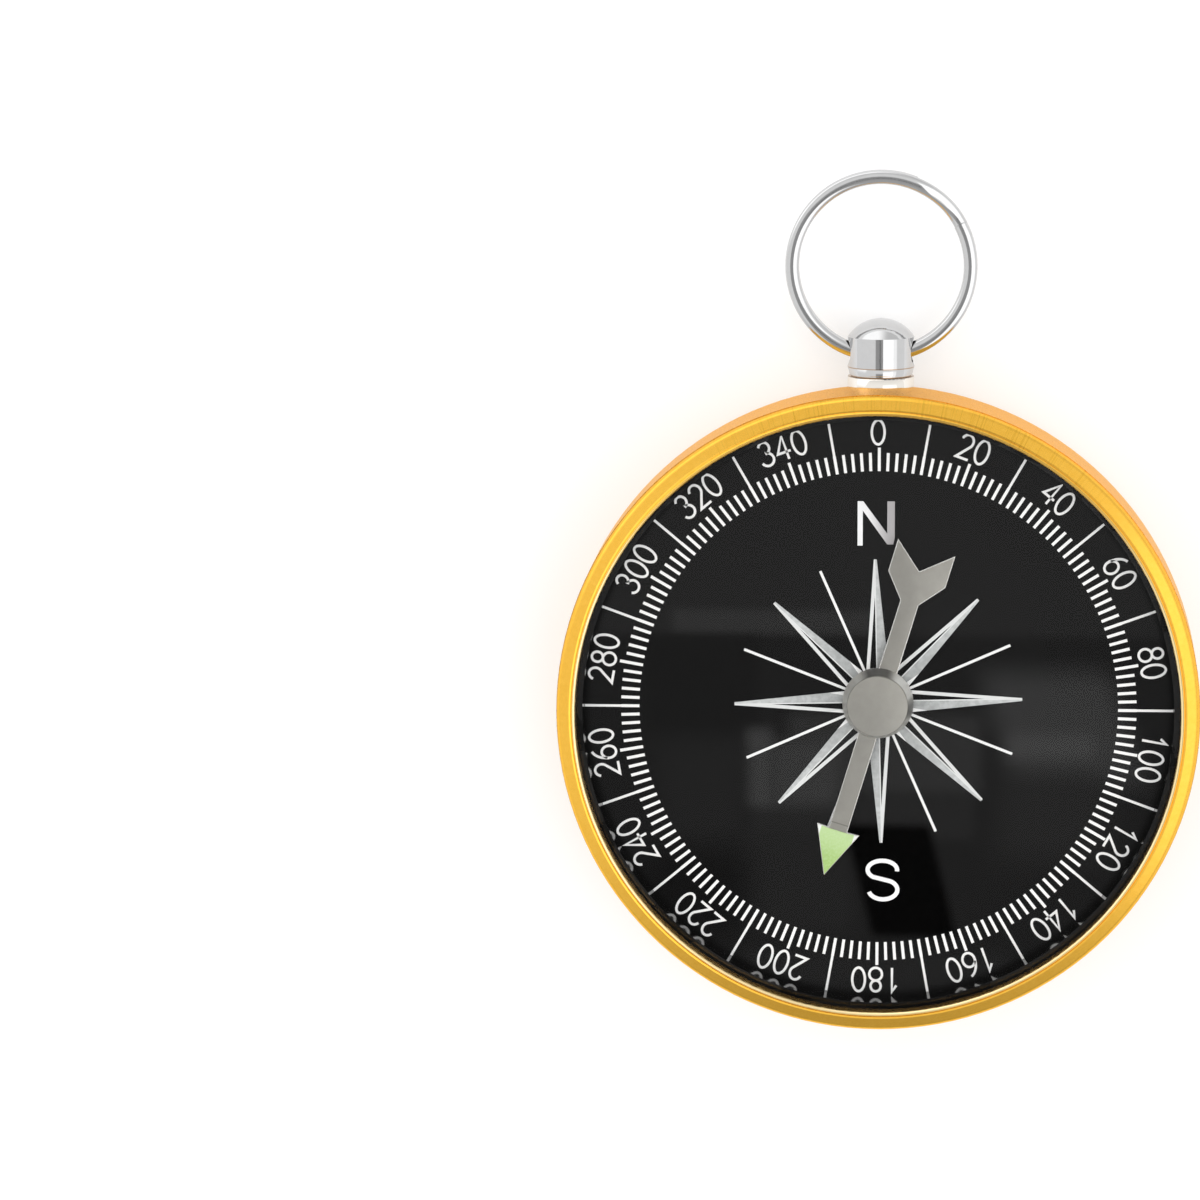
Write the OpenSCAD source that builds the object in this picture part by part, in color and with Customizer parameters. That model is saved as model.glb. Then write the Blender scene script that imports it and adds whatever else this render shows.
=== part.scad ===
// Pocket compass with a drawn metal case, a graduated dial under glass, an arrow needle on a
// pin, and a split ring through the eye of its pendant knob.
// It lies on its back: +Z leaves the dial, +Y runs from the dial's centre to the pendant.
// The origin is on the case's axis, in the plane of the foot ring that the case lies on.

/* [Case] */
// Outer diameter of the case
case_d = 43.6; // [40:0.2:60]
// Thickness of the case's side wall
wall_t = 0.8; // [0.6:0.1:1.2]
// Thickness of the case's floor
floor_t = 0.8; // [0.5:0.1:1.5]
// Depth of the recessed panel in the back
recess_h = 0.6; // [0.3:0.1:1]
// Width of the slope between the foot ring and the recessed panel
recess_slope_w = 0.92; // [0.6:0.02:2]
// Width of the flat foot ring
foot_w = 0.15; // [0.1:0.05:0.8]
// Rounding of the case's back edge
back_round = 0.3; // [0.1:0.05:0.6]
// Height of the lower wall, which leans in towards the back
taper_h = 3.1; // [2:0.1:5]
// How far the lower wall leans in
taper_w = 0.7; // [0.3:0.05:1]
// Height of the chamber under the dial
chamber_h = 3.9; // [2.6:0.1:6]
// Width of the inner ledge that carries the dial
ledge_w = 0.8; // [0.6:0.1:3]

/* [Dial] */
// Thickness of the dial plate
dial_t = 0.8; // [0.5:0.1:1.5]
// Radial thickness of the spacer ring round the dial
spacer_t = 0.85; // [0.5:0.05:1.6]
// Height of the raised print
print_h = 0.05; // [0.03:0.01:0.1]
// Width of the band for the marks and numbers, from the spacer ring inwards
scale_band_w = 3.75; // [3.4:0.05:5]
// Length of a short graduation mark
mark_l = 1.25; // [0.8:0.05:1.8]
// Length of a mark beside a number
number_mark_l = 1.6; // [1:0.1:2]
// Width of a graduation mark
mark_w = 0.2; // [0.15:0.01:0.35]
// Width of the long lines between two numbers
line_w = 0.17; // [0.1:0.01:0.3]
// Distance between the long lines' ends and the edge of the visible dial
line_edge_gap = 0.02; // [0.02:0.01:1]
// Radius of the compass rose
rose_r = 9.8; // [6:0.1:12]
// Full width of a rose point, taken at the centre
rose_w = 1.9; // [1:0.1:2.4]
// Width of the rose points' blunt tips
rose_tip_w = 0.2; // [0.1:0.02:0.4]
// Width of the rose's outline
rose_line_w = 0.24; // [0.12:0.01:0.4]
// Width of the rose's thin rays
ray_w = 0.18; // [0.12:0.01:0.4]
// Turn of the printed rose about the pivot, anticlockwise
rose_turn_deg = 1.4; // [-5:0.1:5]

/* [Glass and bezel] */
// Thickness of the glass
glass_t = 0.7; // [0.5:0.05:1.5]
// Bevel on the upper edge of the glass
glass_bevel = 0.1; // [0.05:0.05:0.3]
// Radial thickness of the bezel's skirt
skirt_t = 0.2; // [0.15:0.05:0.4]
// Height of the glass and the skirt inside the case's wall
seat_h = 0.4; // [0.3:0.05:0.45]
// Overlap of the bezel's lip on the glass
lip_over = 0.3; // [0.1:0.01:0.5]
// Thickness of the bezel's lip over the glass
lip_t = 0.7; // [0.65:0.05:1]
// Rounding of the lip's bright inner edge
lip_round = 0.2; // [0.1:0.02:0.4]
// Width of the groove outside that rounding
groove_w = 0.24; // [0.1:0.02:0.3]
// Depth of the groove
groove_h = 0.08; // [0.03:0.01:0.12]
// Drop of the bezel's face from the rounding to the outer edge
face_drop = 0.45; // [0.1:0.05:0.5]
// Rounding of the bezel's outer edge
bezel_round = 0.45; // [0.1:0.05:0.5]
// Step from the case's wall in to the bezel
bezel_step = 0.05; // [0.05:0.05:0.4]

/* [Needle] */
// Distance from the dial's centre to the pivot, towards the pendant
pivot_off = 0.45; // [0:0.05:0.6]
// Distance from the pivot to the arrow's point
tip_l = 12.55; // [10:0.05:14.5]
// Distance from the pivot to the barbs of the arrowhead
barb_l = 9.15; // [7:0.05:9.6]
// Depth of the arrowhead's barbs
barb_d = 0.05; // [0:0.05:0.6]
// Width of the arrowhead
head_w = 3.05; // [2:0.05:4]
// Width of the shaft
shaft_w = 1.3; // [0.8:0.02:2]
// Distance from the pivot to the neck of the tail
neck_l = 7.25; // [5:0.05:7.5]
// Distance from the pivot to the shoulders of the tail
shoulder_l = 8.93; // [8:0.01:9.2]
// Distance from the pivot to the tips of the tail
tail_l = 11.24; // [10:0.02:14]
// Distance from the pivot to the notch between the tail's tips
notch_l = 9.5; // [9.4:0.01:10.2]
// Width of the tail
tail_w = 4.07; // [3:0.01:5]
// Thickness of the needle's sheet
blade_t = 0.2; // [0.1:0.05:0.3]
// Height of the needle over the dial
blade_up = 0.5; // [0.4:0.05:1]
// Angle of the arrow's point at rest, anticlockwise from +X
needle_rest_deg = 253.1; // [0:0.1:360]
// Thickness of the luminous filling on the arrowhead
lume_t = 0.08; // [0.04:0.01:0.15]
// Border of bare metal beside the luminous filling
lume_edge = 0.06; // [0.03:0.01:0.2]
// Diameter of the hub's foot
hub_d = 4.85; // [4.3:0.05:6]
// Diameter of the hub's flat top
hub_top_d = 4.1; // [3:0.1:4.6]
// Height of the hub
hub_h = 1.3; // [1.2:0.05:2.2]
// Diameter of the hub's bore
hub_bore_d = 2; // [1.6:0.1:2.6]
// Thickness of the hub's flat top
hub_top_t = 0.3; // [0.2:0.05:0.4]
// Thickness of the bearing
bearing_t = 0.7; // [0.6:0.05:0.9]
// Depth of the bearing's cone
bearing_cone_h = 0.4; // [0.3:0.05:0.5]
// Diameter of the pivot pin
pin_d = 0.5; // [0.4:0.05:0.6]
// Height of the pin's taper
pin_taper_h = 0.7; // [0.5:0.1:0.8]
// Diameter of the pin's point
pin_point_d = 0.06; // [0.04:0.01:0.1]
// Diameter of the stake's collar on the dial
stake_d = 1.6; // [1.3:0.1:1.8]
// Height of the stake's collar on the dial
stake_h = 0.5; // [0.3:0.1:0.6]
// Diameter of the stake's shank through the dial
stake_shank_d = 1.1; // [0.9:0.1:1.2]
// Diameter of the stake's riveted head under the dial
stake_head_d = 2.6; // [2:0.1:4]
// Thickness of that head
stake_head_t = 0.3; // [0.2:0.05:0.35]

/* [Pendant] */
// Diameter of the knob
knob_d = 4.55; // [4:0.05:5.3]
// Height of the knob over its collar
knob_h = 3.9; // [3.6:0.1:6]
// Height of the knob's dome
dome_h = 1.25; // [0.8:0.05:1.35]
// Height of the bevel at the knob's foot
knob_bevel_h = 0.45; // [0.2:0.05:0.6]
// Width of that bevel
knob_bevel_w = 0.12; // [0.05:0.01:0.3]
// Height of the fine neck under the knob
knob_neck_h = 0.12; // [0.05:0.01:0.2]
// Depth of the fine neck under the knob
knob_neck_d = 0.22; // [0.1:0.02:0.4]
// Diameter of the collar
collar_d = 4.55; // [4:0.05:5.3]
// Height of the collar over the case
collar_h = 0.65; // [0.4:0.05:1]
// Rounding of the collar's edge
collar_round = 0.12; // [0.05:0.01:0.2]
// Diameter of the eye through the knob
eye_d = 2; // [1.96:0.02:2.1]
// Distance from the collar to the centre of the eye
eye_up = 1.61; // [1.55:0.01:1.75]
// Diameter of the rivet's shank
rivet_d = 1.5; // [1:0.1:2]
// Length of the rivet's shank inside the knob
rivet_grip_l = 0.4; // [0.3:0.05:0.5]
// Diameter of the rivet's head inside the case
rivet_head_d = 2.4; // [2:0.1:2.6]
// Thickness of that head
rivet_head_t = 0.35; // [0.2:0.05:0.45]

/* [Split ring] */
// Outer diameter of the ring
ring_d = 13.05; // [12.5:0.05:16]
// Width of the wire, seen from the front
wire_w = 0.93; // [0.7:0.01:0.94]
// Height of one turn of wire
wire_h = 0.55; // [0.4:0.01:0.56]
// Gap between the two turns
turn_gap = 0.08; // [0.04:0.01:0.1]
// Angle from +X to the middle of the step between the turns
step_deg = 48; // [0:1:80]
// Half of the angle that the step takes
step_half_deg = 18; // [12:1:30]
// Angle left free at each end of the wire
end_gap_deg = 2; // [1:1:6]

/* [Clearances] */
// Gap round the pieces that are laid into the case
fit_gap = 0.1; // [0.05:0.01:0.2]
// Gap round pieces that are pressed or riveted home
press_gap = 0.02; // [0.01:0.01:0.03]
// Gap between the hub's flat top and the glass
glass_gap = 0.2; // [0.1:0.05:1]
// Gap between the pin's point and its bearing
point_gap = 0.04; // [0.02:0.01:0.08]

/* [Hidden] */

// How far every cut runs past the surface that it starts from
overrun = case_d / 400;
// Facets of the exact round forms, and of those as wide as the case
round_fn = 96;
case_fn = 360;
// Steps of the small arcs in the case's and the bezel's section
arc_steps = 8;

gold = [0.89, 0.68, 0.23];
black = [0.1, 0.1, 0.1];
steel = [0.62, 0.61, 0.57];
chrome = [0.82, 0.82, 0.82];
brass = [0.8, 0.62, 0.3];

// Levels over the foot ring
floor_z = recess_h + floor_t;
ledge_z = floor_z + chamber_h;
dial_z = ledge_z + dial_t;
blade_z = dial_z + blade_up;
hub_z = blade_z + blade_t;
glass_z = hub_z + hub_h + glass_gap;
glass_top_z = glass_z + glass_t;
case_top_z = glass_z + seat_h;
bezel_top_z = glass_top_z + lip_t;
bearing_z = hub_z + hub_h - hub_top_t - bearing_t;
point_z = bearing_z + bearing_cone_h - point_gap;

// Radii round the case's axis
case_r = case_d / 2;
bore_r = case_r - wall_t;
chamber_r = bore_r - ledge_w;
well_r = bore_r - fit_gap - spacer_t;
scale_r = well_r - scale_band_w;
// The back edge's rounding touches the foot ring's plane and the leaning wall
lean_deg = atan2(taper_w, taper_h);
back_round_r = case_r - taper_w * (1 - back_round * (1 - sin(lean_deg)) / taper_h)
               - back_round * cos(lean_deg);
foot_r = back_round_r - foot_w;
panel_r = foot_r - recess_slope_w;
skirt_r = bore_r - press_gap;
glass_r = skirt_r - skirt_t - press_gap;
lip_r = glass_r - lip_over;
crest_r = lip_r + lip_round;
bezel_r = case_r - bezel_step;

// The pendant stands over the middle of the rivet's head, just clear of the case's floor
pendant_z = floor_z + rivet_head_d / 2 + fit_gap;
collar_top_y = case_r + collar_h;
eye_y = collar_top_y + eye_up;
rivet_end_y = collar_top_y + rivet_grip_l;
dome_r = (knob_d * knob_d / 4 + dome_h * dome_h) / (2 * dome_h);

// The ring turns about the eye's axis, so its wire is centred there over the knob's width
ring_mean_r = (ring_d - wire_w) / 2;
wire_rise = ring_mean_r - sqrt(ring_mean_r * ring_mean_r - knob_d * knob_d / 4);
ring_y = eye_y + ring_d / 2 - (wire_w + wire_rise) / 2;
turn_pitch = wire_h + turn_gap;
wire_points = 16;
// A low value squares the wire's section, 1 makes it an oval
wire_corner_share = 0.85;
ring_step_deg = 4;

mark_count = 180;
number_count = 18;
rose_count = 8;
// Radius at which the rose's points and rays start, under the hub
rose_start_share = 0.09;
// Place of the gap's straight side, as a share of a rose point's width
rose_gap_share = 0.04;

// Points along an arc that joins a profile's two straight sides
function arc(centre, radius, start_deg, end_deg) = [
    for (i = [0 : arc_steps])
        let (a = start_deg + (end_deg - start_deg) * i / arc_steps)
            [centre[0] + radius * cos(a), centre[1] + radius * sin(a)]];

// Rounds the edge of a profile whose lower outer corner is at [r, z]
module corner_cut(corner, radius) {
    translate([corner[0] - radius, corner[1] + radius])
        mirror([0, 1])
            difference() {
                square(radius + overrun);
                circle(radius, $fn = round_fn);
            }
}

// A cylinder along +Y that starts at a given height over the dial's centre
module along_y(y, radius, length) {
    translate([0, y, pendant_z])
        rotate([-90, 0, 0])
            cylinder(h = length, r = radius, $fn = round_fn);
}

// Half of the case's section, still solid
module case_outline() {
    polygon([[0, 0], each arc([back_round_r, back_round], back_round, -90, -lean_deg),
             [case_r, taper_h], [case_r, case_top_z], [0, case_top_z]]);
}

module case_profile() {
    difference() {
        case_outline();
        // Recessed panel with its slope
        polygon([[-overrun, -overrun], [foot_r, -overrun], [foot_r, 0],
                 [panel_r, recess_h], [-overrun, recess_h]]);
        // Chamber under the dial, then the bore over the ledge
        translate([-overrun, floor_z])
            square([chamber_r + overrun, case_top_z]);
        translate([-overrun, ledge_z])
            square([bore_r + overrun, case_top_z]);
    }
}

module case_shell() {
    color(gold)
        difference() {
            rotate_extrude($fn = round_fn) case_profile();
            along_y(chamber_r - rivet_head_t, rivet_d / 2 + press_gap,
                    case_r - chamber_r + rivet_head_t + overrun);
        }
}

// Height of the bezel's face, which falls outwards from the lip's rounding
function face_z(r) = bezel_top_z - face_drop * (r - crest_r) / (bezel_r - crest_r);

module bezel_profile() {
    fall_deg = atan2(face_drop, bezel_r - crest_r);
    // The outer edge's rounding touches the face and the upright side
    round_r = bezel_r - bezel_round;
    round_z = face_z(round_r) - bezel_round / cos(fall_deg);
    polygon([[lip_r, glass_top_z],
             each arc([crest_r, bezel_top_z - lip_round], lip_round, 180, 90),
             [crest_r + groove_w / 2, face_z(crest_r + groove_w / 2) - groove_h],
             [crest_r + groove_w, face_z(crest_r + groove_w)],
             each arc([round_r, round_z], bezel_round, 90 - fall_deg, 0),
             [bezel_r, case_top_z], [skirt_r, case_top_z], [skirt_r, glass_z],
             [skirt_r - skirt_t, glass_z], [skirt_r - skirt_t, glass_top_z]]);
}

module bezel_ring() {
    color(gold) rotate_extrude($fn = round_fn) bezel_profile();
}

module crystal() {
    color([0.85, 0.9, 0.92, 0.35])
        translate([0, 0, glass_z])
            rotate_extrude($fn = round_fn)
                polygon([[0, 0], [glass_r, 0], [glass_r, glass_t - glass_bevel],
                         [glass_r - glass_bevel, glass_t], [0, glass_t]]);
}

// The black ring between dial and glass
module spacer_ring() {
    color(black)
        translate([0, 0, dial_z])
            rotate_extrude($fn = round_fn)
                translate([well_r, 0])
                    square([spacer_t, glass_z - dial_z]);
}

// One radial bar of the graduation, on a bearing counted clockwise from north
module bar(bearing, start_r, length, width) {
    rotate(-bearing)
        translate([-width / 2, start_r])
            square([width, length]);
}

module graduation() {
    line_end_r = well_r - line_edge_gap;
    for (i = [0 : mark_count - 1])
        let (bearing = i * 360 / mark_count)
            bar(bearing, scale_r, mark_l, mark_w);
    for (i = [0 : number_count - 1])
        let (bearing = i * 360 / number_count) {
            bar(bearing, scale_r, number_mark_l, mark_w);
            bar(bearing + 180 / number_count, scale_r, line_end_r - scale_r, line_w);
        }
}

// A rose point, pointing up: one half full, the other only outlined
module rose_point() {
    start_r = rose_r * rose_start_share;
    gap_x = -rose_w * rose_gap_share;
    slope = (rose_w - rose_tip_w) / 2 / rose_r;
    half_w = rose_w / 2 - slope * start_r;
    gap_tip_r = (rose_w / 2 - rose_line_w + gap_x) / slope;
    difference() {
        polygon([[-half_w, start_r], [half_w, start_r],
                 [rose_tip_w / 2, rose_r], [-rose_tip_w / 2, rose_r]]);
        polygon([[gap_x, start_r - overrun], [gap_x, gap_tip_r],
                 [rose_line_w - half_w - slope * overrun, start_r - overrun]]);
    }
}

// The rose is printed round the pivot
module rose() {
    translate([0, pivot_off])
        rotate(rose_turn_deg)
            for (i = [0 : rose_count - 1])
                let (bearing = i * 360 / rose_count) {
                    rotate(-bearing) rose_point();
                    bar(bearing + 180 / rose_count, rose_r * rose_start_share,
                        rose_r * (1 - rose_start_share), ray_w);
                }
}

module dial_plate() {
    color(black)
        difference() {
            union() {
                translate([0, 0, ledge_z])
                    cylinder(h = dial_t, r = bore_r - fit_gap, $fn = round_fn);
                translate([0, 0, dial_z - print_h])
                    linear_extrude(2 * print_h) {
                        graduation();
                        rose();
                    }
            }
            translate([0, pivot_off, ledge_z - overrun])
                cylinder(h = dial_t + 2 * overrun, r = stake_shank_d / 2 + press_gap, $fn = round_fn);
            translate([0, pivot_off, dial_z])
                cylinder(h = dial_t, r = stake_d / 2 + press_gap, $fn = round_fn);
        }
}

// Brass stake, riveted through the dial
module pivot_stake() {
    color(brass)
        translate([0, pivot_off, ledge_z])
            difference() {
                union() {
                    translate([0, 0, -stake_head_t])
                        cylinder(h = stake_head_t, r = stake_head_d / 2, $fn = round_fn);
                    translate([0, 0, -overrun])
                        cylinder(h = dial_t + 2 * overrun, r = stake_shank_d / 2, $fn = round_fn);
                    translate([0, 0, dial_t])
                        cylinder(h = stake_h, r1 = stake_d / 2, r2 = stake_shank_d / 2,
                                 $fn = round_fn);
                }
                cylinder(h = dial_t + stake_h + overrun, r = pin_d / 2 + press_gap, $fn = round_fn);
            }
}

// Hard steel pin with the point that the needle turns on
module pivot_pin() {
    color(steel)
        translate([0, pivot_off, 0])
            rotate_extrude($fn = round_fn)
                polygon([[0, ledge_z], [pin_d / 2, ledge_z], [pin_d / 2, point_z - pin_taper_h],
                         [pin_point_d / 2, point_z], [0, point_z]]);
}

// Places a needle piece on the pivot, with the arrow along its own +X
module needle_pose() {
    translate([0, pivot_off, 0])
        rotate(needle_rest_deg)
            children();
}

module arrowhead_outline(edge = 0) {
    // The sides meet at the point, and the back runs in to the shaft behind two short barbs
    side_deg = atan2(head_w / 2, tip_l - barb_l);
    tip_x = tip_l - edge / sin(side_deg);
    back_x = barb_l + edge;
    barb_y = (tip_x - back_x) * tan(side_deg);
    polygon([[tip_x, 0], [back_x, barb_y], [back_x + barb_d, shaft_w / 2],
             [back_x + barb_d, -shaft_w / 2], [back_x, -barb_y]]);
}

module needle_blade() {
    color(steel)
        needle_pose()
            translate([0, 0, blade_z])
                linear_extrude(blade_t)
                    difference() {
                        union() {
                            circle(d = hub_d, $fn = round_fn);
                            arrowhead_outline();
                            translate([-neck_l, -shaft_w / 2])
                                square([neck_l + barb_l + barb_d, shaft_w]);
                            polygon([[-neck_l, shaft_w / 2], [-shoulder_l, tail_w / 2],
                                     [-tail_l, tail_w / 2], [-notch_l, 0],
                                     [-tail_l, -tail_w / 2], [-shoulder_l, -tail_w / 2],
                                     [-neck_l, -shaft_w / 2]]);
                        }
                        circle(d = hub_bore_d, $fn = round_fn);
                    }
}

// Turned cap over the pivot, with a flat top
module needle_hub() {
    bore_h = hub_h - hub_top_t;
    color(steel)
        needle_pose()
            translate([0, 0, hub_z])
                rotate_extrude($fn = round_fn)
                    polygon([[hub_bore_d / 2, 0], [hub_d / 2, 0], [hub_top_d / 2, hub_h],
                             [0, hub_h], [0, bore_h], [hub_bore_d / 2, bore_h]]);
}

// Cup bearing in the cap, turned over the pin's point
module hub_bearing() {
    color(brass)
        needle_pose()
            translate([0, 0, bearing_z])
                rotate_extrude($fn = round_fn)
                    polygon([[bearing_cone_h, 0], [hub_bore_d / 2 - press_gap, 0],
                             [hub_bore_d / 2 - press_gap, bearing_t], [0, bearing_t],
                             [0, bearing_cone_h]]);
}

module luminous_head() {
    color([0.7, 0.86, 0.52])
        needle_pose()
            translate([0, 0, hub_z])
                linear_extrude(lume_t)
                    arrowhead_outline(lume_edge);
}

// Collar between knob and case, hollowed to sit on the round, leaning wall
module pendant_collar() {
    foot_l = collar_h + taper_w + collar_d * collar_d / (4 * case_d);
    color(chrome)
        difference() {
            translate([0, collar_top_y, pendant_z])
                rotate([90, 0, 0])
                    rotate_extrude($fn = round_fn)
                        difference() {
                            translate([rivet_d / 2 + press_gap, 0])
                                square([(collar_d - rivet_d) / 2 - press_gap, foot_l]);
                            corner_cut([collar_d / 2, 0], collar_round);
                        }
            rotate_extrude($fn = case_fn) case_outline();
        }
}

// Half of the knob's section, standing on its foot
module knob_profile() {
    intersection() {
        polygon([[0, 0], [knob_d / 2 - knob_neck_d, 0], [knob_d / 2 - knob_neck_d, knob_neck_h],
                 [knob_d / 2 - knob_bevel_w, knob_neck_h],
                 [knob_d / 2, knob_neck_h + knob_bevel_h], [knob_d / 2, knob_h], [0, knob_h]]);
        translate([0, knob_h - dome_r])
            circle(dome_r, $fn = round_fn);
    }
}

module pendant_knob() {
    color(chrome)
        difference() {
            translate([0, collar_top_y, pendant_z])
                rotate([-90, 0, 0])
                    rotate_extrude($fn = round_fn) knob_profile();
            translate([-knob_d, eye_y, pendant_z])
                rotate([0, 90, 0])
                    cylinder(h = 2 * knob_d, r = eye_d / 2, $fn = round_fn);
            along_y(collar_top_y - overrun, rivet_d / 2 + press_gap, rivet_grip_l + overrun);
        }
}

// Rivet that holds knob and collar to the case, with its head inside the chamber
module pendant_rivet() {
    color(chrome)
        union() {
            along_y(chamber_r - rivet_head_t / 2, rivet_d / 2,
                    rivet_end_y - chamber_r + rivet_head_t / 2);
            intersection() {
                along_y(chamber_r - rivet_head_t, rivet_head_d / 2, 2 * rivet_head_t);
                cylinder(h = ledge_z, r = chamber_r, $fn = case_fn);
            }
        }
}

// Height of the wire's centre line at an angle counted from the middle of the step
function wire_level(u) =
    abs(u) >= step_half_deg ? sign(u) * turn_pitch / 2
                            : sin(u / step_half_deg * 90) * turn_pitch / 2;

// A slightly squared oval across the wire, at angle u of the two turns
function wire_section(u) = [
    for (i = [0 : wire_points - 1])
        let (a = 360 * i / wire_points,
             across = sign(cos(a)) * pow(abs(cos(a)), wire_corner_share) * wire_w / 2,
             up = sign(sin(a)) * pow(abs(sin(a)), wire_corner_share) * wire_h / 2,
             r = ring_mean_r + across)
            [r * cos(u + step_deg), r * sin(u + step_deg), wire_level(u) + up]];

module split_ring() {
    end_u = 360 - step_half_deg - end_gap_deg;
    count = ceil(2 * end_u / ring_step_deg);
    points = [for (k = [0 : count]) each wire_section(-end_u + 2 * end_u * k / count)];
    sides = [for (k = [0 : count - 1], i = [0 : wire_points - 1])
                let (j = (i + 1) % wire_points,
                     a = k * wire_points + i,
                     b = k * wire_points + j)
                    each [[a, b, b + wire_points], [a, b + wire_points, a + wire_points]]];
    first_end = [for (i = [1 : wire_points - 2]) [0, i + 1, i]];
    last = count * wire_points;
    last_end = [for (i = [1 : wire_points - 2]) [last, last + i, last + i + 1]];
    color(chrome)
        translate([0, ring_y, pendant_z])
            polyhedron(points, concat(sides, first_end, last_end));
}

case_shell();
bezel_ring();
crystal();
spacer_ring();
dial_plate();
pivot_stake();
pivot_pin();
needle_blade();
needle_hub();
hub_bearing();
luminous_head();
pendant_collar();
pendant_knob();
pendant_rivet();
split_ring();
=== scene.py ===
import math

import bmesh
import bpy
from mathutils import Matrix, Vector


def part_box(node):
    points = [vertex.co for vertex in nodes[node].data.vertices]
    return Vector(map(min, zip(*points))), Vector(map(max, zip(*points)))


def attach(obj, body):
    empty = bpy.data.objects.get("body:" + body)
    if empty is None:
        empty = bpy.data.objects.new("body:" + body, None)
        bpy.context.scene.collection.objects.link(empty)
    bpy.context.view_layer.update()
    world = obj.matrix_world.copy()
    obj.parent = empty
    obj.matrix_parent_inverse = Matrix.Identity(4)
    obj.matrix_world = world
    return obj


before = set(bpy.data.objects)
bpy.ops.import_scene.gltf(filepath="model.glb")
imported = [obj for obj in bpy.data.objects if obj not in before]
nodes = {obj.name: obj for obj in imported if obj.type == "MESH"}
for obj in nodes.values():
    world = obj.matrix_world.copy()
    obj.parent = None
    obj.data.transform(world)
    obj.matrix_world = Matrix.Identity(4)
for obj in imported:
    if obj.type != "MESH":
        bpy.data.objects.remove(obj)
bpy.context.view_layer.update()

MM = 0.001

# Places that the frame gives, in metres
dial_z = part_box("spacer_ring")[0].z
case_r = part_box("case_shell")[1].x
glass_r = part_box("crystal")[1].x
collar_top_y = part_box("pendant_collar")[1].y

# Lengths on the finishes are in mm from the dial's centre, and angles in degrees.
# A stretch is written as from and to, and a window as from, to and blur.

# Back of the case: its recessed panel, the foot of the panel's slope and the panel's height
PANEL_R = 19.75
SLOPE_FOOT_R = 20.7
PANEL_Z = 0.6
PANEL_BLUR = 0.05
SLOPE_BLUR = 0.04
# Lean of the panel's grain, and how close it lies along and across it
GRAIN_DEG = -40.0
GRAIN_SCALE = (0.7, 14.0)
# Scratches along the grain: a middle along and across it, and half a length and width
SCRATCHES = (((4.0, -8.0), (2.4, 0.03)),
             ((-6.5, -11.5), (1.5, 0.025)),
             ((9.0, 3.0), (1.1, 0.02)),
             ((-3.0, 6.0), (0.9, 0.02)))
SCRATCH_BLUR = (0.4, 0.02)

# Bezel: how far its lip reaches over the glass, and a painted highlight along its crest, which
# fades to the north
LIP_REACH = 0.3
LIP_R = glass_r / MM - LIP_REACH
CREST_W = 0.2
CREST_HIGHLIGHT = (LIP_R, LIP_R + CREST_W, 0.03)
CREST_HIGHLIGHT_FADE_Y = (6.0, 17.0)
# Bearings between which the bezel's tool marks are strongest, and their share elsewhere
TOOL_MARKS = (-25.0, 42.0, 14.0)
TOOL_MARKS_ELSEWHERE = 0.12

# Glass: its index of refraction
GLASS_IOR = 1.5

# Dial: height over its face at which the ink starts, and radius that parts the rose from the scale
INK_Z = (0.015, 0.03)
ROSE_R = (12.0, 12.1)
# Pivot of the needle and of the rose, and the rose's turn about it
PIVOT_Y = 0.45
ROSE_TURN = math.radians(1.4)
ROSE_COUNT = 8
# In each turn from one star point to the next: the thin ray, and the start of the filled half
ROSE_RAY = (0.25, 0.75, 0.002)
ROSE_FILLED = 0.75
# Radii between which the rose's silver grows paler
ROSE_SHADE_R = (2.0, 9.5)

# Needle: its heading, and places along it from the pivot
NEEDLE_DEG = 253.1
SCRIBED_LINE = (8.74, 8.8, 0.03)
LUMINOUS_SHADE = (9.3, 12.0)
# Half a width of the luminous head from which its corners are silvery
CORNER_HALF_W = (1.12, 1.2)
# Hub: the edge of its top, its fine rings, and painted reflections on its flank, as dark and
# bright streaks by bearings and a tone
HUB_TOP_R = (2.06, 2.1)
HUB_RINGS_SCALE = 22.0
HUB_PAINTED_REFLECTIONS = (((-24.0, 24.0, 8.0), (0.12, 0.118, 0.11)),
               ((32.0, 76.0, 9.0), (0.95, 0.94, 0.9)),
               ((84.0, 112.0, 8.0), (0.18, 0.178, 0.165)))

# Pendant: the case's edge, the collar's top and the bead at the knob's foot
CASE_EDGE_Y = case_r / MM
COLLAR_TOP_Y = collar_top_y / MM
COLLAR_BLUR = 0.02
FOOT_GAP = 0.12
FOOT_Y = COLLAR_TOP_Y + FOOT_GAP
FOOT_L = 0.45
# Slopes of the beads from their lower to their upper end, and painted brown shade in the seams
# beside them
COLLAR_SLOPES = (0.1, 0.5)
FOOT_SLOPES = (0.2, 0.62)
COLLAR_SEAM_SHADE = (COLLAR_TOP_Y - 0.06, COLLAR_TOP_Y + 0.04, 0.02)
FOOT_SEAM_SHADE = (FOOT_Y + FOOT_L, FOOT_Y + FOOT_L + 0.06, 0.03)

# Rounded edges: a radius for shading in metres, and widths of geometry in mm
SHADED_EDGE_R = 0.1 * MM
SHADED_EDGE_SAMPLES = 6
NEEDLE_EDGE = 0.05
HUB_EDGE = 0.08
EDGE_SEGMENTS = 3
# Meshes are joined over this gap, and shaded smooth up to this angle
WELD_GAP = 0.0005 * MM
SHARP_DEG = 40.0

# Print of the dial: its height, the step down from one stroke to the next, and a stroke's mitre
PRINT_H = 0.05 * MM
STROKE_STEP = 0.002 * MM
MITRE_LIMIT = 0.4
# Numbers: a digit's cell and line, and their shift from the graduation's centre
NUMBER_STEP = 20
DIGIT_W = 0.87 * MM
DIGIT_H = 1.66 * MM
DIGIT_PITCH = 1.17 * MM
DIGIT_FOOT_R = 18.11 * MM
DIGIT_LINE = 0.17 * MM
NUMBER_SHIFT = Vector((-0.08, 0.01)) * MM
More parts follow.
